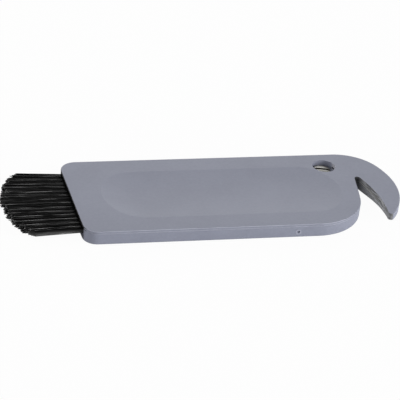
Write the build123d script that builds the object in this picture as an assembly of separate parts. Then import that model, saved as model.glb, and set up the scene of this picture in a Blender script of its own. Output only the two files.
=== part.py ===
"""Hand brush with a hair-cutting hook, for cleaning the brush roll of a floor sweeper.

Two grey plastic shells are screwed together. They hold a strip of black bristles at one end, and a
steel blade in the wall of a notch at the other. X runs along the handle with the hook at +X, Y runs
across it, Z is up, and the origin is under the middle of the whole tool, on the surface it lies on.
"""

import math
import os

from build123d import *

# Driving dimensions, in millimetres.
thickness = 4.8
half_width = 21.9
brush_end_x = -43.35
hook_end_x = 66.5
bristle_end_x = -66.5

# Cutting shapes reach this far past what they cut.
cut_margin = 1.0

# Outline: sharp corners, then the radius that rounds each of them.
body_corner = (49.4, -half_width)
notch_root = (54.2, 9.4)
mouth_share = 0.52
notch_wall = (58.3, -5.0)
hook_tip = (58.0, -19.25)
hook_side = (hook_end_x, 1.0)
hook_shoulder = (57.4, half_width)
near_end_radius = 4.5
far_end_radius = 5.6
body_radius = 18.2
notch_radius = 1.0
tip_radius = 0.9
shoulder_radius = 14.6

# Shells: the cover lies on the tray's ledge at the seam, and its plug reaches down inside the walls. A
# thin lip of the tray laps round the cover's edge, except near the notch, where the blade goes in.
seam_z = 3.6
floor_z = 1.2
plug_z = 2.9
lip_z = 4.05
lip_width = 0.7
lip_gap = 0.1
lip_chamfer = 0.12
lip_break = ((51.0, 62.0), (-23.0, 12.0))
fit_gap = 0.1
top_fillet = 0.2
bottom_fillet = 0.6
cavity_corners = [(-31.5, -19.9), (46.6, -19.9), (50.0, 19.9), (-31.5, 19.9)]
cavity_radii = [1.5, 14.0, 6.0, 1.5]
rib_y = 7.0
rib_width = 1.2
rib_ends = (-28.0, 36.0)
peg_radius = 1.0
socket_radius = 2.2
peg_places = [(-22.0, 16.0), (-22.0, -16.0), (24.0, 16.0), (24.0, -16.0)]
peg_foot_z = 1.4

# Underside of the hook rises towards its tip from this line.
ramp_start_y = 6.0
ramp_slope = 0.105
ramp_side_x = 54.2

# Thumb dish in the cover.
dish_ends = (-33.4, 46.8)
dish_half_width = 14.3
dish_depth = 0.75
dish_rise = 12.0

# Round mark on the near wall.
mark_place = (26.5, -half_width, 2.0)
mark_radius = 0.5
mark_depth = 0.35

# Screw, and the well that it sits in, which is a little off the screw's axis.
well_place = (45.5, 14.3)
well_radius = 3.85
well_wall_radius = 4.85
well_floor_z = 2.6
well_foot_z = 2.0
well_rim_fillet = 0.3
screw_place = (44.85, 13.85)
clearance_radius = 1.6
boss_radius = 3.5
pilot_foot_z = 0.4
head_radius = 3.0
head_height = 1.45
head_dome_radius = 14.0
head_edge_fillet = 0.25
shank_radius = 1.3
shank_end_z = 0.5
shank_chamfer = 0.3
drive_slot_width = 0.9
drive_slot_depth = 0.7
drive_slot_turn = -15

# Blade, lying in a pocket under the seam.
blade_thickness = 0.5
blade_edge = ((54.8, 8.6), (59.63, -13.5))
blade_back = [(61.0, -11.5), (63.2, 0.0), (61.2, 11.0), (56.6, 13.0)]
blade_pegs = [(59.4, 7.6), (60.6, -1.6)]
bevel_width = 0.9
bevel_height = 0.22

# Brush: a strip captured behind the end wall, with one row of tufts looking out of the slot.
end_wall = 2.0
slot_half_width = 18.4
slot_floor_z = 1.15
pocket_length = 8.4
pocket_half_width = 18.8
block_bottom_z = 0.9
block_top_z = 4.0
tuft_count = 14
tuft_pitch = 2.4
tuft_radius = 0.9
tuft_depth = 5.0
tuft_z = (block_bottom_z + block_top_z) / 2
anchor_size = (1.4, 0.3, 2.3)

# Strands: rings of five, ten and fifteen round a middle one, spreading to a rounded cut.
ring_count = 3
ring_step = 0.25
strands_per_ring = 5
strand_radius = 0.11
strand_sides = 3
strand_sink = 0.4
tip_pitch = 2.62
spread_across = 1.5
spread_up = 1.9
tip_curve = 40.8
tip_unevenness = 0.7
golden_turn = (math.sqrt(5) - 1) / 2

pocket_start_x = brush_end_x + end_wall
pocket_end_x = pocket_start_x + pocket_length
block_front_x = pocket_start_x + fit_gap


def rounded(face, corners, radii):
    """Round the corners of a flat face, each with its own radius."""
    for corner, radius in zip(corners, radii):
        vertex = face.vertices().sort_by_distance((*corner, 0))[0]
        face = fillet(vertex, radius)
    return face


def outline(notched=True):
    """Plan of the handle with its hook, on the ground plane. Unnotched, a line closes the notch's mouth."""
    near_end = (brush_end_x, -half_width)
    far_end = (brush_end_x, half_width)
    side = Line(body_corner, notch_root)
    wall = ThreePointArc(notch_root, notch_wall, hook_tip)
    if not notched:
        side = Line(body_corner, side @ mouth_share)
        wall = Line(side @ 1, hook_tip)
    edges = [
        Line(near_end, body_corner),
        side,
        wall,
        ThreePointArc(hook_tip, hook_side, hook_shoulder),
        Line(hook_shoulder, far_end),
        Line(far_end, near_end),
    ]
    corners = [near_end, body_corner, hook_tip, hook_shoulder, far_end]
    radii = [near_end_radius, body_radius, tip_radius, shoulder_radius, far_end_radius]
    plan = rounded(make_face(edges), corners, radii)
    return rounded(plan, [notch_root], [notch_radius]) if notched else plan


def slab(face, bottom, top):
    """Flat plan raised from one height to another."""
    return Pos(0, 0, bottom) * extrude(face, top - bottom)


def box_between(x, y, z):
    """Box from three pairs of limits."""
    size = [high - low for low, high in (x, y, z)]
    middle = [(low + high) / 2 for low, high in (x, y, z)]
    return Pos(*middle) * Box(*size)


def post(place, radius, bottom, top):
    """Upright round post."""
    return slab(Pos(*place) * Circle(radius), bottom, top)


def cavity_plan():
    """Plan of the hollow inside the handle."""
    return rounded(make_face(Polyline(*cavity_corners, close=True)), cavity_corners, cavity_radii)


def lip_plan(width):
    """Plan of the lapped rim, this wide, with its break at the notch."""
    (start_x, end_x), (start_y, end_y) = lip_break
    gap = Pos((start_x + end_x) / 2, (start_y + end_y) / 2) * Rectangle(end_x - start_x, end_y - start_y)
    return outline() - offset(outline(), -width) - gap


def blade_plan():
    """Plan of the blade, its cutting edge first."""
    return make_face(Polyline(*blade_edge, *blade_back, close=True))


def ramp_cutter():
    """Wedge under the hook that thins it towards the tip."""
    reach = ramp_start_y + half_width
    profile = Polyline((ramp_start_y, 0), (-half_width, 0), (-half_width, reach * ramp_slope), close=True)
    wedge = extrude(Plane.YZ * make_face(profile), hook_end_x - ramp_side_x + cut_margin)
    return Pos(ramp_side_x, 0, 0) * wedge


def dish_cutter():
    """Shallow bowl turned about an axis high above the handle, with ends that rise to the top face."""
    start, end = dish_ends
    low = thickness - dish_depth
    axis_z = low + (dish_half_width**2 + dish_depth**2) / (2 * dish_depth)
    left_foot = (start + dish_rise, low)
    right_foot = (end - dish_rise, low)
    profile = [
        Line(left_foot, right_foot),
        TangentArc(right_foot, (end, thickness), tangent=(1, 0)),
        Polyline((end, thickness), (end, axis_z), (start, axis_z), (start, thickness)),
        TangentArc(left_foot, (start, thickness), tangent=(-1, 0)),
    ]
    return revolve(Plane.XZ * make_face(profile), Axis((0, 0, axis_z), (1, 0, 0)))


def handle_tray():
    """Lower shell: floor, walls, slot for the bristles and lower layer of the hook."""
    tray = extrude(outline(), seam_z)
    tray = fillet(tray.edges().group_by(Axis.Z)[0], bottom_fillet) - ramp_cutter()
    rim = slab(outline(), seam_z, lip_z)
    rim = chamfer(rim.edges().group_by(Axis.Z)[-1], lip_chamfer)
    tray += rim & slab(lip_plan(lip_width), seam_z, lip_z)
    tray -= slab(cavity_plan(), floor_z, seam_z)
    pocket_y = (-pocket_half_width, pocket_half_width)
    slot_y = (-slot_half_width, slot_half_width)
    tray -= box_between((pocket_start_x, pocket_end_x), pocket_y, (block_bottom_z, seam_z))
    tray -= box_between((brush_end_x - cut_margin, pocket_start_x), slot_y, (slot_floor_z, lip_z))
    tray -= slab(blade_plan(), seam_z - blade_thickness, seam_z)
    for place in blade_pegs:
        tray += post(place, peg_radius, seam_z - blade_thickness, seam_z)
    for side in (-rib_y, rib_y):
        tray += box_between(rib_ends, (side - rib_width / 2, side + rib_width / 2), (floor_z, plug_z))
    for place in peg_places:
        tray += post(place, socket_radius, floor_z, plug_z) - post(place, peg_radius, peg_foot_z, plug_z)
    tray -= post(well_place, well_wall_radius + fit_gap, well_foot_z, seam_z)
    tray += post(screw_place, boss_radius, floor_z, well_foot_z)
    tray -= post(screw_place, shank_radius, pilot_foot_z, well_foot_z)
    return tray - Pos(*mark_place) * Rot(90, 0, 0) * Cylinder(mark_radius, 2 * mark_depth)


def handle_cover():
    """Upper shell: thumb dish, screw well, lip over the bristles and upper layer of the hook."""
    blank = slab(outline(notched=False), seam_z, thickness)
    blank = fillet(blank.edges().group_by(Axis.Z)[-1], top_fillet)
    cover = blank & slab(outline(), seam_z, thickness)
    cover -= slab(lip_plan(lip_width + fit_gap), seam_z, lip_z + lip_gap)
    cover += slab(offset(cavity_plan(), -fit_gap), plug_z, seam_z)
    cover += post(well_place, well_wall_radius, well_foot_z, plug_z)
    for place in peg_places:
        cover += post(place, peg_radius, peg_foot_z, plug_z)
    cover -= dish_cutter()
    pocket_y = (-pocket_half_width, pocket_half_width)
    slot_y = (-slot_half_width, slot_half_width)
    cover -= box_between((pocket_start_x, pocket_end_x), pocket_y, (seam_z, block_top_z))
    cover -= box_between((brush_end_x - cut_margin, pocket_start_x), slot_y, (seam_z, block_top_z))
    cover -= post(well_place, well_radius, well_floor_z, thickness)
    cover -= post(screw_place, clearance_radius, well_foot_z, well_floor_z)
    rim = cover.edges().filter_by(GeomType.CIRCLE).sort_by_distance((*well_place, thickness))[0]
    return fillet(rim, well_rim_fillet)


def cutter_blade():
    """Steel blade with a straight edge, ground on both sides, on two pegs."""
    blade = slab(blade_plan(), seam_z - blade_thickness, seam_z)
    for place in blade_pegs:
        blade -= post(place, peg_radius, seam_z - blade_thickness, seam_z)
    (start_x, start_y), (end_x, end_y) = blade_edge
    for height in (seam_z, seam_z - blade_thickness):
        middle = ((start_x + end_x) / 2, (start_y + end_y) / 2, height)
        face = blade.faces().filter_by(Axis.Z).sort_by_distance(middle)[0]
        edge = face.edges().sort_by_distance(middle)[0]
        blade = chamfer(edge, bevel_width, bevel_height, reference=face)
    return blade


def cover_screw():
    """Slotted screw with a flat, slightly domed head, its thread left plain."""
    top = well_floor_z + head_height
    dome = Pos(*screw_place, top - head_dome_radius) * Sphere(head_dome_radius)
    head = post(screw_place, head_radius, well_floor_z, top) & dome
    head_edge = head.edges().filter_by(GeomType.CIRCLE).filter_by(lambda edge: edge.is_closed)
    head = fillet(head_edge.sort_by(Axis.Z)[-1], head_edge_fillet)
    shank = post(screw_place, shank_radius, shank_end_z, well_floor_z)
    shank = chamfer(shank.edges().group_by(Axis.Z)[0], shank_chamfer)
    slot = Box(2 * head_radius + cut_margin, drive_slot_width, 2 * drive_slot_depth)
    return head + shank - Pos(*screw_place, top) * Rot(0, 0, drive_slot_turn) * slot


def tuft_y(index, pitch):
    """Place of a tuft in its row, which is centred on the handle."""
    return (index - (tuft_count - 1) / 2) * pitch


def anchor(index):
    """Flat staple across the folded end of a tuft."""
    end_x = block_front_x + tuft_depth - anchor_size[0] / 2
    return Pos(end_x, tuft_y(index, tuft_pitch), tuft_z) * Box(*anchor_size)


def tuft_root(index):
    """Folded root of a tuft, the size of its hole in the block."""
    root = Rot(0, 90, 0) * Cylinder(tuft_radius, tuft_depth)
    return Pos(block_front_x + tuft_depth / 2, tuft_y(index, tuft_pitch), tuft_z) * root


def brush_block():
    """Strip that the tufts are set in, with the bites of the staples."""
    half = pocket_half_width - fit_gap
    ends = (block_front_x, pocket_end_x - fit_gap)
    block = box_between(ends, (-half, half), (block_bottom_z, block_top_z))
    holes = [tuft_root(index) for index in range(tuft_count)]
    bites = [anchor(index) for index in range(tuft_count)]
    return block - holes - bites


def strand_offsets():
    """Places of the strands round the middle of a tuft."""
    places = [(0.0, 0.0)]
    for ring in range(1, ring_count + 1):
        count = strands_per_ring * ring
        for step in range(count):
            angle = 2 * math.pi * (step + ring / 2) / count
            places.append((ring * ring_step * math.cos(angle), ring * ring_step * math.sin(angle)))
    return places


def strand(index, number, across, up):
    """One three-sided strand from inside the root to the rounded cut at the tips."""
    root = Vector(block_front_x + strand_sink, tuft_y(index, tuft_pitch) + across, tuft_z + up)
    tip_y = tuft_y(index, tip_pitch) + across * spread_across
    shortfall = tip_unevenness * ((number * golden_turn + index / tuft_count) % 1)
    tip = Vector(bristle_end_x + tip_y**2 / tip_curve + shortfall, tip_y, tuft_z + up * spread_up)
    path = tip - root
    section = Pos(root) * (Plane.YZ * RegularPolygon(strand_radius, strand_sides))
    return extrude(section, path.length, dir=path)


def tuft(index):
    """Bundle of strands fused to its root, which is notched for the staple."""
    strands = [strand(index, number, *place) for number, place in enumerate(strand_offsets())]
    return (tuft_root(index) - anchor(index)).fuse(*strands)


def save(shape, name):
    """Write one node and say how big it is."""
    export_step(shape, f"parts/{name}.step")
    size = shape.bounding_box().size
    print(f"{name}: {size.X:.2f} x {size.Y:.2f} x {size.Z:.2f}, {len(shape.solids())} solid")


os.makedirs("parts", exist_ok=True)
save(handle_tray(), "handle_tray")
save(handle_cover(), "handle_cover")
save(cutter_blade(), "cutter_blade")
save(cover_screw(), "cover_screw")
save(brush_block(), "brush_block")
save(Compound([anchor(index) for index in range(tuft_count)]), "tuft_anchors")
for index in range(tuft_count):
    save(tuft(index), f"tuft_{index + 1:02d}")
print(f"{tuft_count * len(strand_offsets())} strands in {tuft_count} tufts")
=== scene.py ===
# %% [markdown]
# Hand brush with a hair-cutting hook
#
# This small flat tool cleans the brush roll of a floor sweeper. It has a grey plastic handle in two
# shells, a wide row of black bristles at one end, and a hook with a bladed notch at the other. The
# packed construction comes in as a fixed frame: every piece here takes its place from it, and the hard
# pieces stay as they are and only get a finish.

# %% Load the packed model
import math
import random

import bpy
from mathutils import Matrix, Vector


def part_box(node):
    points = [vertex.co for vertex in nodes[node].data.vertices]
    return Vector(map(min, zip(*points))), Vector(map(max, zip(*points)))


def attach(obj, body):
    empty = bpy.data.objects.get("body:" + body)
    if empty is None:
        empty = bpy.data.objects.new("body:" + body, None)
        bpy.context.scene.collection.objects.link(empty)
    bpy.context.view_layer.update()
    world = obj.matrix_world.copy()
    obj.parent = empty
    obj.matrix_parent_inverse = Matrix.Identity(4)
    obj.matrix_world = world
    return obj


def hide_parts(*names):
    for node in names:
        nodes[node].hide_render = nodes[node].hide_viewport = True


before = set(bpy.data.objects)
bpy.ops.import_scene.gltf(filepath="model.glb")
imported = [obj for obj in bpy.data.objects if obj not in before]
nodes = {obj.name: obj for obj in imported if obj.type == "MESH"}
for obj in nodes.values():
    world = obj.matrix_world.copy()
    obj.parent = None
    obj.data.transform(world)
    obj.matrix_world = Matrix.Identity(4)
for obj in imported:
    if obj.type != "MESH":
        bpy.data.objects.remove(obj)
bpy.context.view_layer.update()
mm = 0.001

# %% [markdown]
# Arithmetic for shaders
#
# A finish is a net of small nodes, and a net written node by node is hard to read. One class wraps a
# node's output so that Python's own operators add the Math nodes: `1 - mask` reads as it works. Every
# other kind of node comes from a single method, which makes the settings first and then the sockets.

# %% Wrap a socket
class Value:
    """A node's output that takes part in arithmetic."""

    def __init__(self, output):
        self.output = output
        self.tree = output.id_data

    def node(self, kind, settings, sockets, output=0):
        """Add a node of any kind: its settings, then the values or links of its sockets."""
        added = self.tree.nodes.new(kind)
        for name, setting in settings.items():
            setattr(added, name, setting)
        for name, value in sockets.items():
            if isinstance(value, Value):
                self.tree.links.new(value.output, added.inputs[name])
            else:
                added.inputs[name].default_value = value
        return Value(added.outputs[output])

    def maths(self, operation, first, second=0.0):
        """Number worked out from one or two others."""
        return self.node("ShaderNodeMath", {"operation": operation}, {0: first, 1: second})

    def __add__(self, other):
        return self.maths("ADD", self, other)

    def __sub__(self, other):
        return self.maths("SUBTRACT", self, other)

    def __rsub__(self, other):
        return self.maths("SUBTRACT", other, self)

    def __mul__(self, other):
        return self.maths("MULTIPLY", self, other)

    def __abs__(self):
        return self.maths("ABSOLUTE", self)

    __radd__ = __add__
    __rmul__ = __mul__

    def step(self, low, high):
        """Smooth step from 0 at low to 1 at high."""
        limits = {"Value": self, "From Min": low, "From Max": high}
        return self.node("ShaderNodeMapRange", {"interpolation_type": "SMOOTHSTEP"}, limits)

    def band(self, start, full, fade, end):
        """1 from full to fade, and smoothly less towards 0 at start and end."""
        return self.step(start, full) * (1 - self.step(fade, end))

    def mix(self, low, high):
        """Colour between two colours, with this value as the share of the second."""
        settings = {"data_type": "RGBA"}
        return self.node("ShaderNodeMix", settings, {0: self, 6: low, 7: high}, 2)

    def vector(self, operation, other, output="Vector"):
        """Vector or distance worked out from this vector and another."""
        return self.node("ShaderNodeVectorMath", {"operation": operation}, {0: self, 1: other}, output)

    def axis(self, name):
        """One coordinate of a vector."""
        return self.node("ShaderNodeSeparateXYZ", {}, {"Vector": self}, name)

    def noise(self, size, detail=2.0):
        """Cloudy value from 0 to 1 over a place, with lumps of about this size in metres."""
        sockets = {"Vector": self, "Scale": 1 / size, "Detail": detail}
        return self.node("ShaderNodeTexNoise", {}, sockets)


print("operators:", [name for name in vars(Value) if name.startswith("__") and name != "__init__"])

# %% [markdown]
# A finish to start from
#
# Each material is one Principled shader. What is the same all over the surface is set straight on its
# sockets, and only what changes over the surface is linked. Places are read in metres from the object
# itself, so a grain has the same size on every piece and needs no unwrapping.

# %% Start a finish
def new_finish(name, **constants):
    """Material with its constant sockets set; gives it, its shader and the place on the object."""
    material = bpy.data.materials.new(name)
    material.use_nodes = True
    shader = material.node_tree.nodes["Principled BSDF"]
    for socket, value in constants.items():
        shader.inputs[socket.replace("_", " ")].default_value = value
    lit = Value(shader.outputs["BSDF"])
    return material, shader, lit.node("ShaderNodeTexCoord", {}, {}, "Object")


def feed(shader, socket, value):
    """Link a value to one of the shader's sockets."""
    value.tree.links.new(value.output, shader.inputs[socket])


def bumped(height, strength, depth):
    """Normal that follows a height, where depth is the height's full range in metres."""
    sockets = {"Height": height, "Strength": strength, "Distance": depth}
    return height.node("ShaderNodeBump", {}, sockets)


def grey(level):
    """Neutral colour of one level."""
    return (level, level, level, 1)


print("helpers:", [helper.__name__ for helper in (new_finish, feed, bumped, grey)])

# %% [markdown]
# Grey handle plastic
#
# The shells are moulded in a satin blue-grey plastic. A mould that was eroded by sparks leaves a fine
# even grain, and the colour is a little cloudy. An image could hold that, but a few noises give the
# grain its true size from every side.

# %% Colour the new plastic
plastic_dark = (0.247, 0.260, 0.324, 1)
plastic_light = (0.272, 0.286, 0.355, 1)
cloud_size = 14 * mm
speck_size = 0.9 * mm


def new_plastic(place):
    """Colour of the plastic before use, with wide clouds and small specks."""
    shade = 0.6 * place.noise(cloud_size, 3.0) + 0.4 * place.noise(speck_size)
    return shade.step(0.3, 0.7).mix(plastic_dark, plastic_light)


print("clouds:", round(cloud_size / mm, 1), "mm, specks:", round(speck_size / mm, 1), "mm")

# %% [markdown]
# Rubbed and lit edges
#
# The upper edges are painted paler: partly wear from handling, partly a painted highlight on the
# rounded edges. They are palest where the hand holds the tool and less so towards the hook. The edges
# are found by the slope of the surface: flat faces point up, down or sideways, and only a rounded edge
# points in between. The small round mark in the near wall has a pale burr, which is a ring at some
# distance from its middle.

# %% Find what is rubbed and lit
# Paler colour of the upper edges: partly wear, partly a painted highlight.
plastic_worn_highlight = (0.45, 0.465, 0.545, 1)
edge_slopes = (0.12, 0.4, 0.9, 0.985)
hand_end = (38 * mm, 50 * mm)
patch_size = 3 * mm
mark_place = Vector((26.5, -21.9, 2.0)) * mm
mark_radius = 0.5 * mm
burr_radii = [share * mark_radius for share in (0.9, 1.1, 1.5, 2.2)]


def wear_and_highlight_share(place, slope):
    """How much the surface is rubbed and painted with a highlight, where its slope is 0 on a wall and 1
    on top.
    """
    fade_to_hook = 1 - 0.8 * place.axis("X").step(*hand_end)
    patchy = 0.65 + 0.35 * place.noise(patch_size).step(0.35, 0.65)
    burr = place.vector("DISTANCE", mark_place, "Value").band(*burr_radii)
    return slope.band(*edge_slopes) * fade_to_hook * patchy + 0.45 * burr


print("burr:", round(2 * burr_radii[-1] / mm, 1), "mm across")

# %% [markdown]
# Lit well and shaded end
#
# The wall of the screw's well on the side of the hook is painted paler, as painted light, and the end
# face that the bristles come out of is painted dark, as painted shade. Both could be painted by hand. A
# distance from the well's axis and the direction of the end face find the same places without painting
# an image.

# %% Find the lit wall and the shaded end
# Painted light on the well's wall on the side of the hook.
well_wall_light = (0.5, 0.5, 0.54, 1)
well_axis = Vector((45.5, 14.3, 0)) * mm
well_radius = 3.85 * mm
lit_side_start = (1.6 * mm, 3 * mm)
# Painted shade on the end face round the bristles.
end_face_shade = (0.012, 0.012, 0.013, 1)
end_direction = (-0.99, -0.9)
lip_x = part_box("handle_cover")[0].x


def from_axis(place, point):
    """Distance from an upright axis through a point at floor level."""
    return place.vector("MULTIPLY", (1, 1, 0)).vector("DISTANCE", point, "Value")


def well_light_share(place, walls):
    """How much painted light the well's wall gets."""
    in_well = 1 - from_axis(place, well_axis).step(1.05 * well_radius, 1.15 * well_radius)
    from_well = place.vector("SUBTRACT", well_axis)
    towards_hook = from_well.axis("X") - 0.8 * from_well.axis("Y")
    return 0.8 * in_well * towards_hook.step(*lit_side_start) * walls


def end_shade_share(place, normal):
    """1 on the end face round the bristles and on the rounded edge above it, otherwise 0."""
    end_face = 1 - (normal.axis("X") - 0.5 * normal.axis("Z")).step(*end_direction)
    return end_face * (1 - place.axis("X").step(lip_x + mm, lip_x + 2 * mm))


print("brush end at", round(lip_x / mm, 2), "mm, well", round(2 * well_radius / mm, 1), "mm across")

# %% [markdown]
# Walls of the notch
#
# Inside the notch the plastic is painted dark as painted shade, most of all at its closed end, and high
# on the wall as the painted shadow of the overhang. Low on the wall it is painted paler as painted light,
# less so towards the tip, and the hair has scored it along. The scores are one noise that is stretched
# along the wall, so that its lumps turn to streaks.

# %% Colour the notch
notch_end = Vector((54.6, 8.8, 0)) * mm
notch_sides = (53.2 * mm, 61.0 * mm)
notch_back = 10.5 * mm
hook_start = (55.5 * mm, 56.5 * mm)
outer_direction = (0.3, 0.6)
# Painted shade at the closed end, painted shadow high on the wall, painted light low on it.
notch_end_shade = (0.055, 0.056, 0.06, 1)
upper_wall_shadow = (0.13, 0.132, 0.137, 1)
lower_wall_light = (0.46, 0.462, 0.472, 1)
tip_wall_shade = (0.2, 0.202, 0.208, 1)
score_grey = (0.55, 0.553, 0.565, 1)
shade_run = (1 * mm, 6 * mm)
light_run = (4 * mm, 16 * mm)
shadow_height = (1.5 * mm, 4.6 * mm)
scored_run = (2 * mm, 9 * mm)
faint_run = (17 * mm, 24 * mm)
score_size = 0.36 * mm
score_stretch = (0.08, 0.08, 1)
score_tilt = (0.05, 0, 0)


def stretched(place, scale, rotation=(0, 0, 0)):
    """Place in which a noise is drawn out along each axis that has a small scale."""
    sockets = {"Vector": place, "Rotation": rotation, "Scale": scale}
    return place.node("ShaderNodeMapping", {}, sockets)


def notch_share(place, normal, walls):
    """1 on the walls of the notch, otherwise 0, as on the outer wall of the hook's thin tip."""
    start, end = notch_sides
    between = place.axis("X").band(start, start + mm, end, end + 2 * mm)
    outer = place.axis("X").step(*hook_start) * normal.axis("X").step(*outer_direction)
    return between * (1 - place.axis("Y").step(notch_back, notch_back + mm)) * walls * (1 - outer)


def notch_shading(place):
    """Painted shade and light on the notch's walls, with pale scores."""
    from_end = from_axis(place, notch_end)
    # Painted light low on the wall, fading towards the tip, under a painted shadow high on the wall.
    lower = from_end.step(*light_run).mix(lower_wall_light, tip_wall_shade)
    wall = place.axis("Z").step(*shadow_height).mix(lower, upper_wall_shadow)
    shaded = from_end.step(*shade_run).mix(notch_end_shade, wall)
    scores = stretched(place, score_stretch, score_tilt).noise(score_size, 3.0).step(0.43, 0.58)
    pale = scores * from_end.step(*scored_run) * (0.8 - 0.6 * from_end.step(*faint_run))
    return pale.mix(shaded, score_grey)


print("scores:", round(score_size / mm, 2), "by", round(score_size / score_stretch[0] / mm, 1), "mm")

# %% [markdown]
# The whole handle finish
#
# The layers lie over each other: new plastic, the upper edges that are rubbed and carry a painted
# highlight, painted light on the well's wall, painted shade on the brush end, and painted shade and light
# in the notch. Each is one mix, so a layer can be taken out alone. The grain is under all of them, in the
# bump and in the roughness.

# %% Put the finish on the handle
grain_size = 0.22 * mm
grain_depth = 0.02 * mm


def handle_finish():
    material, shader, place = new_finish("satin_grey_plastic", Specular_IOR_Level=0.25)
    normal = place.node("ShaderNodeTexCoord", {}, {}, "Normal")
    slope = normal.axis("Z")
    walls = 1 - abs(slope).step(0.2, 0.5)
    wear_and_highlight = wear_and_highlight_share(place, slope)
    # Paler upper edges: wear and a painted highlight.
    colour = wear_and_highlight.mix(new_plastic(place), plastic_worn_highlight)
    # Painted light on the well's wall, and painted shade on the brush end.
    colour = well_light_share(place, walls).mix(colour, well_wall_light)
    colour = end_shade_share(place, normal).mix(colour, end_face_shade)
    # Painted shade and light in the notch, with pale scores.
    colour = notch_share(place, normal, walls).mix(colour, notch_shading(place))
    grain = place.noise(grain_size, 3.0)
    feed(shader, "Base Color", colour)
    feed(shader, "Roughness", 0.52 + 0.12 * grain - 0.1 * wear_and_highlight)
    feed(shader, "Normal", bumped(grain, 0.35, grain_depth))
    return material


handle_plastic = handle_finish()
for shell in ("handle_tray", "handle_cover"):
    nodes[shell].data.materials[0] = handle_plastic
print("handle plastic:", len(handle_plastic.node_tree.nodes), "nodes")

# %% [markdown]
# Blade steel
#
# The blade is stamped from rolled strip, so fine lines run along it. Its edge is ground on both sides,
# and the grinding leaves short lines across. Both are one noise, stretched in two directions, and the
# distance from the edge chooses between them.

# %% Make the blade steel
edge_start = Vector((54.8, 8.6, 0)) * mm
edge_end = Vector((59.63, -13.5, 0)) * mm
bevel_width = 0.9 * mm
steel_dark = grey(0.15)
steel_light = grey(0.3)
rolled_size = 0.06 * mm
rolled_stretch = (0.03, 1, 1)
ground_size = 0.05 * mm
ground_stretch = (1, 0.05, 0.3)
line_depth = 0.01 * mm


def turned(place, angle):
    """Place turned about Z."""
    sockets = {"Vector": place, "Rotation": (0, 0, angle)}
    return place.node("ShaderNodeVectorRotate", {"rotation_type": "EULER_XYZ"}, sockets)


def blade_finish():
    material, shader, place = new_finish("ground_strip_steel", Metallic=1.0)
    run = edge_end - edge_start
    along = turned(place.vector("SUBTRACT", edge_start), -math.atan2(run.y, run.x))
    bevel = 1 - along.axis("Y").step(bevel_width * 0.85, bevel_width * 1.1)
    rolled = stretched(along, rolled_stretch).noise(rolled_size, 3.0)
    ground = stretched(along, ground_stretch).noise(ground_size)
    lines = rolled + bevel * (ground - rolled)
    feed(shader, "Base Color", lines.step(0.3, 0.7).mix(steel_dark, steel_light))
    feed(shader, "Roughness", 0.4 + 0.2 * lines)
    feed(shader, "Normal", bumped(lines, 0.25, line_depth))
    return material


nodes["cutter_blade"].data.materials[0] = blade_finish()
print("blade edge:", round((edge_end - edge_start).length / mm, 1), "mm long")

# %% [markdown]
# Screw
#
# The screw at the bottom of its well is nickel plated, and dull with use. Its head was turned, so the
# marks are rings round its middle: the distance from the axis drives them. The slot is a real cut in
# the solid, and its middle is painted dark as painted shade. The distance across the slot finds it. The
# far right of the head is painted dark as the painted shadow of the well's wall.

# %% Make the screw's plating
screw_low, screw_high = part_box("cover_screw")
screw_axis = Vector(((screw_low.x + screw_high.x) / 2, (screw_low.y + screw_high.y) / 2, 0))
slot_turn = math.radians(-15)
slot_half_width = 0.45 * mm
nickel_dark = (0.12, 0.118, 0.11, 1)
nickel_light = (0.19, 0.187, 0.176, 1)
ring_size = 0.1 * mm
ring_depth = 0.012 * mm
# Painted shade in the middle of the slot.
slot_shade_black = (0.03, 0.029, 0.026, 1)
slot_shade_end = (2 * mm, 2.6 * mm)
# Painted shadow of the well's wall on the far right of the head.
head_shadow_black = (0.04, 0.038, 0.034, 1)
head_shadow_start = (1.3 * mm, 3.6 * mm)
head_shadow_edge_size = 0.9 * mm


def screw_finish():
    material, shader, place = new_finish("dull_nickel", Metallic=1.0)
    from_screw = place.vector("SUBTRACT", screw_axis)
    radius = from_axis(place, screw_axis)
    rings = radius.node("ShaderNodeCombineXYZ", {}, {"X": radius}).noise(ring_size)
    across = abs(turned(from_screw, -slot_turn).axis("Y"))
    in_slot = 1 - across.step(slot_half_width, slot_half_width * 1.25)
    slot_shade = in_slot * (1 - radius.step(*slot_shade_end))
    far_right = from_screw.axis("X") + 0.9 * from_screw.axis("Y")
    head_shadow = (far_right + place.noise(head_shadow_edge_size, 3.0) * mm).step(*head_shadow_start)
    plated = rings.step(0.3, 0.7).mix(nickel_dark, nickel_light)
    # Painted shade in the slot and painted shadow on the head's far right.
    feed(shader, "Base Color", slot_shade.mix(head_shadow.mix(plated, head_shadow_black), slot_shade_black))
    feed(shader, "Roughness", 0.36 + 0.12 * rings + 0.2 * slot_shade)
    feed(shader, "Normal", bumped(rings, 0.3, ring_depth))
    return material


nodes["cover_screw"].data.materials[0] = screw_finish()
print("screw head:", round((screw_high.x - screw_low.x) / mm, 1), "mm across")

# %% [markdown]
# Brush strip and staples
#
# The strip that holds the bristles is black plastic with a plain moulded grain, and the staples that
# pin each tuft are drawn brass wire. Only the strip's edge is seen, through the slot, but both get a
# finish of their own because the part can be taken to pieces.

# %% Make the strip's plastic and the staples' brass
strip_dark = grey(0.008)
strip_light = grey(0.016)
strip_grain_size = 0.3 * mm
strip_grain_depth = 0.02 * mm
brass_dark = (0.5, 0.36, 0.15, 1)
brass_light = (0.68, 0.52, 0.25, 1)
brass_line_size = 0.05 * mm
brass_line_stretch = (1, 1, 0.05)
brass_line_depth = 0.01 * mm


def strip_finish():
    material, shader, place = new_finish("black_strip_plastic", Specular_IOR_Level=0.3)
    grain = place.noise(strip_grain_size, 3.0)
    feed(shader, "Base Color", grain.step(0.3, 0.7).mix(strip_dark, strip_light))
    feed(shader, "Roughness", 0.5 + 0.15 * grain)
    feed(shader, "Normal", bumped(grain, 0.3, strip_grain_depth))
    return material


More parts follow.
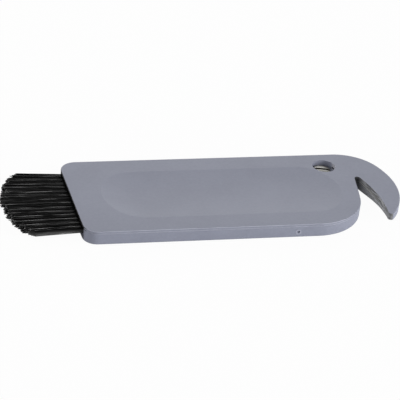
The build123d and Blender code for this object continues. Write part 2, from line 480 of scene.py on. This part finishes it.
def staple_finish():
    material, shader, place = new_finish("drawn_brass", Metallic=1.0)
    drawn = stretched(place, brass_line_stretch).noise(brass_line_size)
    feed(shader, "Base Color", drawn.step(0.3, 0.7).mix(brass_dark, brass_light))
    feed(shader, "Roughness", 0.25 + 0.2 * drawn)
    feed(shader, "Normal", bumped(drawn, 0.2, brass_line_depth))
    return material


nodes["brush_block"].data.materials[0] = strip_finish()
nodes["tuft_anchors"].data.materials[0] = staple_finish()
print("strip and staples finished")

# %% [markdown]
# Bristle finish
#
# The bristles are black nylon filament. Most are dull with dust, and some shine in stretches where they
# have been rubbed clean. Blender gives each loose part of a mesh a random number, and that number
# chooses the shiny ones without any painting. A clear coat over the black gives the shine, because it
# can come and go over the surface. Fewer shine on the far side of the row. Low on the near side they are
# painted grey as painted light. The cut ends are rougher and paler than the sides.

# %% Make the bristle finish
nylon_dark = grey(0.0008)
nylon_light = grey(0.0045)
# Painted light on the low near side of the brush.
nylon_painted_light = grey(0.11)
sheen_size = 0.5 * mm
sheen_stretch = (0.055, 1, 1)
dusty_side = (8 * mm, 17 * mm)
lit_side = (-16.8 * mm, -15.8 * mm)
lit_height = (1.8 * mm, 3.2 * mm)
cut_dark = grey(0.008)
cut_light = grey(0.3)
torn_size = 0.3 * mm


def bristle_finish():
    coat = {"Coat_Roughness": 0.16, "Coat_IOR": 1.6}
    material, shader, place = new_finish("black_nylon_filament", Specular_IOR_Level=0.03, **coat)
    number = place.node("ShaderNodeNewGeometry", {}, {}, "Random Per Island")
    drawn = stretched(place, sheen_stretch).noise(sheen_size)
    clean = 1 - 0.5 * place.axis("Y").step(*dusty_side)
    black = number.step(0.0, 1.0).mix(nylon_dark, nylon_light)
    # Painted light low on the near side.
    lit_low = (1 - place.axis("Y").step(*lit_side)) * (1 - place.axis("Z").step(*lit_height))
    feed(shader, "Base Color", lit_low.mix(black, nylon_painted_light))
    feed(shader, "Roughness", 0.42 + 0.25 * drawn)
    feed(shader, "Coat Weight", number.step(0.45, 0.95) * drawn.step(0.42, 0.6) * clean)
    return material


def cut_finish():
    material, shader, place = new_finish("cut_nylon", Specular_IOR_Level=0.1)
    torn = place.noise(torn_size)
    feed(shader, "Base Color", torn.step(0.48, 0.62).mix(cut_dark, cut_light))
    feed(shader, "Roughness", 0.6 + 0.2 * torn)
    return material


bristle_nylon = bristle_finish()
cut_nylon = cut_finish()
print("bristle finishes:", bristle_nylon.name, cut_nylon.name)

# %% [markdown]
# One bristle
#
# A bristle is a thin round filament, cut square at its tip. A curve with a bevel would do for one, but
# a thousand curves are slow to open, so each is a tube of a few rings in one mesh per tuft. The last
# short length of some is frayed, and takes the paler finish of the cut ends.

# %% Build one bristle
filament_radius = 0.13 * mm
filament_sides = 6
side_finish = 0
end_finish = 1


def add_filament(points, faces, finishes, path, frayed):
    """Add a closed tube along a path to a mesh, and the finish of each of its faces."""
    first = len(points)
    for place in path:
        for side in range(filament_sides):
            angle = 2 * math.pi * side / filament_sides
            offset = Vector((0, math.cos(angle), math.sin(angle))) * filament_radius
            points.append(place + offset)
    for ring in range(len(path) - 1):
        low = first + ring * filament_sides
        high = low + filament_sides
        at_tip = ring == len(path) - 2
        for side in range(filament_sides):
            after = (side + 1) % filament_sides
            faces.append((low + side, low + after, high + after, high + side))
            finishes.append(end_finish if frayed and at_tip else side_finish)
    last = first + (len(path) - 1) * filament_sides
    faces.append(tuple(range(first + filament_sides - 1, first - 1, -1)))
    faces.append(tuple(range(last, last + filament_sides)))
    finishes += [end_finish, end_finish]


print("one bristle:", 2 * filament_radius / mm, "mm thick")

# %% [markdown]
# The cut of the brush
#
# The brush is cut round: its tips fall back towards both ends of the row, and more steeply in the last
# few millimetres. Use has made the cut ragged. Tips that cling together in a bunch fall short together,
# and so do wider clumps of them, so each group draws its shortfall once and all its tips share it.

# %% Cut the tips
tuft_count = 14
bunch_size = 0.8 * mm
bunch_pull = 0.4
bunch_unevenness = 1.1 * mm
clump_size = 1.7 * mm
clump_unevenness = 1.1 * mm
unevenness = 0.35 * mm
cut_curve = 54 * mm
cut_middle = -0.7 * mm
corner_start = 15.5 * mm
corner_cut = 0.7
tip_reach = min(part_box(f"tuft_{index + 1:02d}")[0].x for index in range(tuft_count))
chance = random.Random(256)
shortfalls = {}


def bunched(offset):
    """Pull a distance towards the middle of the bunch that it falls in, and number that bunch."""
    bunch = round(offset / bunch_size)
    return offset + bunch_pull * (bunch * bunch_size - offset), bunch


def shortfall(group, most):
    """How far a group of filaments falls short of the cut, the same for each of them."""
    if group not in shortfalls:
        shortfalls[group] = most * chance.random() ** 2
    return shortfalls[group]


def cut_place(tip_y, bunch):
    """Where along the tool a filament ends."""
    tip_x = tip_reach + (tip_y - cut_middle) ** 2 / cut_curve + abs(chance.gauss(0, unevenness))
    tip_x += corner_cut * max(0.0, abs(tip_y) - corner_start)
    tip_x += shortfall(bunch, bunch_unevenness)
    return tip_x + shortfall(round(tip_y / clump_size), clump_unevenness)


print("longest bristles reach", round(tip_reach / mm, 1), "mm")

# %% [markdown]
# The way of a filament
#
# The places of a tuft's filaments come from a sunflower pattern, which fills a round hole evenly with
# any number of them. From the hole they splay until they fill the slot, where the round is stretched to
# a square, so that the tufts close up to one brush. From there they run almost straight, with a slight
# bow. The tips cling together in small bunches, as used bristles do, and a few stray.

# %% Lead a filament from its hole to its tip
tuft_pitch = 2.4 * mm
tip_pitch = 2.58 * mm
filaments_per_tuft = 64
hole_radius = 0.76 * mm
hole_depth = 4.8 * mm
brush_rise = 0.12 * mm
lip_half_height = 0.95 * mm
tip_half_height = 1.2 * mm
wander = 0.16 * mm
stray_wander = 0.5 * mm
stray_share = 0.06
fray_length = 0.3 * mm
bow_size = 0.06 * mm
run_steps = 5
golden_angle = math.pi * (3 - math.sqrt(5))
strip_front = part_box("brush_block")[0].x
tuft_z = sum(corner.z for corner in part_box("brush_block")) / 2
brush_z = tuft_z + brush_rise
brush_half_width = tuft_count / 2 * tip_pitch - wander


def within(offset, limit):
    """Keep a distance inside a limit on both sides."""
    return max(-limit, min(limit, offset))


def sunflower(number):
    """Place of a filament across and up in a round tuft, and the same stretched to a square."""
    share = math.sqrt((number + 0.5) / filaments_per_tuft)
    across = share * math.cos(number * golden_angle)
    up = share * math.sin(number * golden_angle)
    square = share / max(abs(across), abs(up))
    return (across, up), (across * square, up * square)


def filament_path(row, number):
    """Points of one filament, from the bottom of its hole to its tip."""
    (across, up), (wide, high) = sunflower(number)
    spread = stray_wander if chance.random() < stray_share else wander
    root = Vector((strip_front, row * tuft_pitch + across * hole_radius, tuft_z + up * hole_radius))
    lip_y = row * tuft_pitch + wide * tuft_pitch / 2 + chance.gauss(0, wander / 2)
    lip = Vector((lip_x, lip_y, brush_z + high * lip_half_height))
    tip_y, column = bunched(row * tip_pitch + wide * tip_pitch / 2)
    tip_up, layer = bunched(high * tip_half_height)
    tip_y = within(tip_y + chance.gauss(0, spread), brush_half_width)
    tip_up = within(tip_up + chance.gauss(0, spread / 2), tip_half_height)
    tip = Vector((cut_place(tip_y, (column, layer)), tip_y, brush_z + tip_up))
    bow = Vector((0, chance.gauss(0, bow_size), chance.gauss(0, bow_size)))
    path = [Vector((strip_front + hole_depth, root.y, root.z)), root]
    for step in range(run_steps):
        far = step / run_steps
        path.append(lip.lerp(tip, far) + bow * math.sin(math.pi * far))
    path.append(tip - (tip - lip).normalized() * fray_length)
    path.append(tip)
    return path


print("brush:", round(2 * brush_half_width / mm, 1), "mm wide at the tips")

# %% [markdown]
# Tufts
#
# The tufts stand in one row in the strip, and each replaces its plain solid. One mesh a tuft keeps the
# pieces as they are on the real brush, where a tuft is put in, or pulled out, as a whole.

# %% Fan out the tufts
fray_share = 0.5


def make_tuft(index):
    """One tuft of loose filaments in place of its solid."""
    points, faces, finishes = [], [], []
    for number in range(filaments_per_tuft):
        path = filament_path(index - (tuft_count - 1) / 2, number)
        add_filament(points, faces, finishes, path, chance.random() < fray_share)
    mesh = bpy.data.meshes.new(f"bristles_{index + 1:02d}")
    mesh.from_pydata(points, [], faces)
    mesh.materials.append(bristle_nylon)
    mesh.materials.append(cut_nylon)
    for face, finish in zip(mesh.polygons, finishes):
        face.material_index = finish
        face.use_smooth = len(face.vertices) == 4
    tuft = bpy.data.objects.new(mesh.name, mesh)
    bpy.context.scene.collection.objects.link(tuft)
    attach(tuft, "root")
    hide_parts(f"tuft_{index + 1:02d}")
    return tuft


tufts = [make_tuft(index) for index in range(tuft_count)]
print("bristles:", tuft_count * filaments_per_tuft, "in", len(tufts), "tufts")

# %% [markdown]
# Floor and background
#
# The tool lies on a plain white sweep. A white floor under plain light is never quite white in a
# picture, so for the camera's rays most of it is swapped for an even white, and the rest keeps the
# shadow. From below, the floor is clear, so that the underside can be looked at.

# %% Lay the floor
floor_size = 6.0
floor_drop = 0.05 * mm
sweep_dark = grey(0.9)
sweep_light = grey(0.93)
sweep_cloud_size = 40 * mm
white_share = 0.96
full_white = {"Color": grey(1.0), "Strength": 1.0}


def seen_directly(value):
    """1 for a ray that shows its light in the picture, straight or by a reflection, otherwise 0."""
    kinds = ("Is Camera Ray", "Is Glossy Ray", "Is Transmission Ray")
    straight, glossy, through = [value.node("ShaderNodeLightPath", {}, {}, kind) for kind in kinds]
    return straight + glossy + through


def floor_finish():
    material, shader, place = new_finish("white_sweep", Roughness=0.9, Specular_IOR_Level=0.0)
    faint = place.noise(sweep_cloud_size).step(0.2, 0.8)
    feed(shader, "Base Color", faint.mix(sweep_dark, sweep_light))
    lit = Value(shader.outputs["BSDF"])
    glow = lit.node("ShaderNodeEmission", {}, full_white)
    white = lit.node("ShaderNodeMixShader", {}, {0: seen_directly(lit) * white_share, 1: lit, 2: glow})
    clear = lit.node("ShaderNodeBsdfTransparent", {}, {})
    below = lit.node("ShaderNodeNewGeometry", {}, {}, "Backfacing")
    shown = lit.node("ShaderNodeMixShader", {}, {0: below, 1: white, 2: clear})
    feed(material.node_tree.nodes["Material Output"], "Surface", shown)
    return material


half = floor_size / 2
corners = [(x, y, -floor_drop) for x, y in ((-half, -half), (half, -half), (half, half), (-half, half))]
floor_mesh = bpy.data.meshes.new("floor")
floor_mesh.from_pydata(corners, [], [(0, 1, 2, 3)])
floor_mesh.materials.append(floor_finish())
floor = bpy.data.objects.new("floor", floor_mesh)
bpy.context.scene.collection.objects.link(floor)
print("floor:", floor_size, "m square")

# %% [markdown]
# Light
#
# The shading in the picture says where the light is. The near wall is as bright as the top and gets
# brighter towards the hook, so the main light is low and comes from the front right. The near side of
# the shallow dish is brighter than its far side, so another stands behind the tool. The walls of the
# notch and the well that face left are lit too, so two weak ones stand on the left. The world fills the
# rest.

# %% Set the lights
light_distance = 0.9
light_size = 0.45
world_fill = 0.2


def area_light(name, turn, height, energy):
    """Square soft light that looks at the tool; turn is from the front towards the right, in degrees."""
    lamp = bpy.data.lights.new(name, "AREA")
    lamp.size = light_size
    lamp.energy = energy
    light = bpy.data.objects.new(name, lamp)
    aim = Matrix.Rotation(math.radians(turn), 4, "Z") @ Matrix.Rotation(math.radians(90 - height), 4, "X")
    light.matrix_world = aim @ Matrix.Translation((0, 0, light_distance))
    bpy.context.scene.collection.objects.link(light)


def light_world(fill):
    """World that lights the scene with an even fill and shows as white."""
    world = bpy.data.worlds.new("studio")
    world.use_nodes = True
    bpy.context.scene.world = world
    soft = Value(world.node_tree.nodes["Background"].outputs["Background"])
    soft.output.node.inputs["Color"].default_value = grey(1.0)
    soft.output.node.inputs["Strength"].default_value = fill
    white = soft.node("ShaderNodeBackground", {}, full_white)
    shown = soft.node("ShaderNodeMixShader", {}, {0: seen_directly(soft), 1: soft, 2: white})
    feed(world.node_tree.nodes["World Output"], "Surface", shown)


area_light("right_light", turn=55, height=15, energy=6.8)
area_light("back_light", turn=165, height=20, energy=2.3)
area_light("back_left_light", turn=-125, height=30, energy=2.8)
area_light("front_left_light", turn=-50, height=20, energy=1.9)
light_world(world_fill)
bpy.context.scene.view_settings.view_transform = "Standard"
print("lights:", [lamp.name for lamp in bpy.data.lights])

# %% [markdown]
# Camera
#
# The picture was taken with a long lens from about 30 degrees above, with the tool turned and the
# camera a little tilted. Those three angles were found from the square brush end, the parallel long
# edges and the round screw well.

# %% Place the camera
camera_height = math.radians(30)
camera_turn = math.radians(-18.0)
camera_tilt = math.radians(7.26)
camera_distance = 796.1 * mm
looked_at = Vector((0.46, 3.17, 0)) * mm
sensor_width = 36
focal_length = 220.5
nearest_seen = 0.01
lens = bpy.data.cameras.new("camera")
lens.sensor_width = sensor_width
lens.lens = focal_length
lens.clip_start = nearest_seen
camera = bpy.data.objects.new("camera", lens)
aim = Matrix.Rotation(camera_turn, 4, "Z") @ Matrix.Rotation(math.pi / 2 - camera_height, 4, "X")
aim = aim @ Matrix.Rotation(camera_tilt, 4, "Z")
camera.matrix_world = Matrix.Translation(looked_at) @ aim @ Matrix.Translation((0, 0, camera_distance))
bpy.context.scene.collection.objects.link(camera)
bpy.context.scene.camera = camera
print("camera at", [round(side / mm, 1) for side in camera.location])

# %% [markdown]
# Update
#
# The view layer is brought up to date once more.

# %% Update the view layer
bpy.context.view_layer.update()
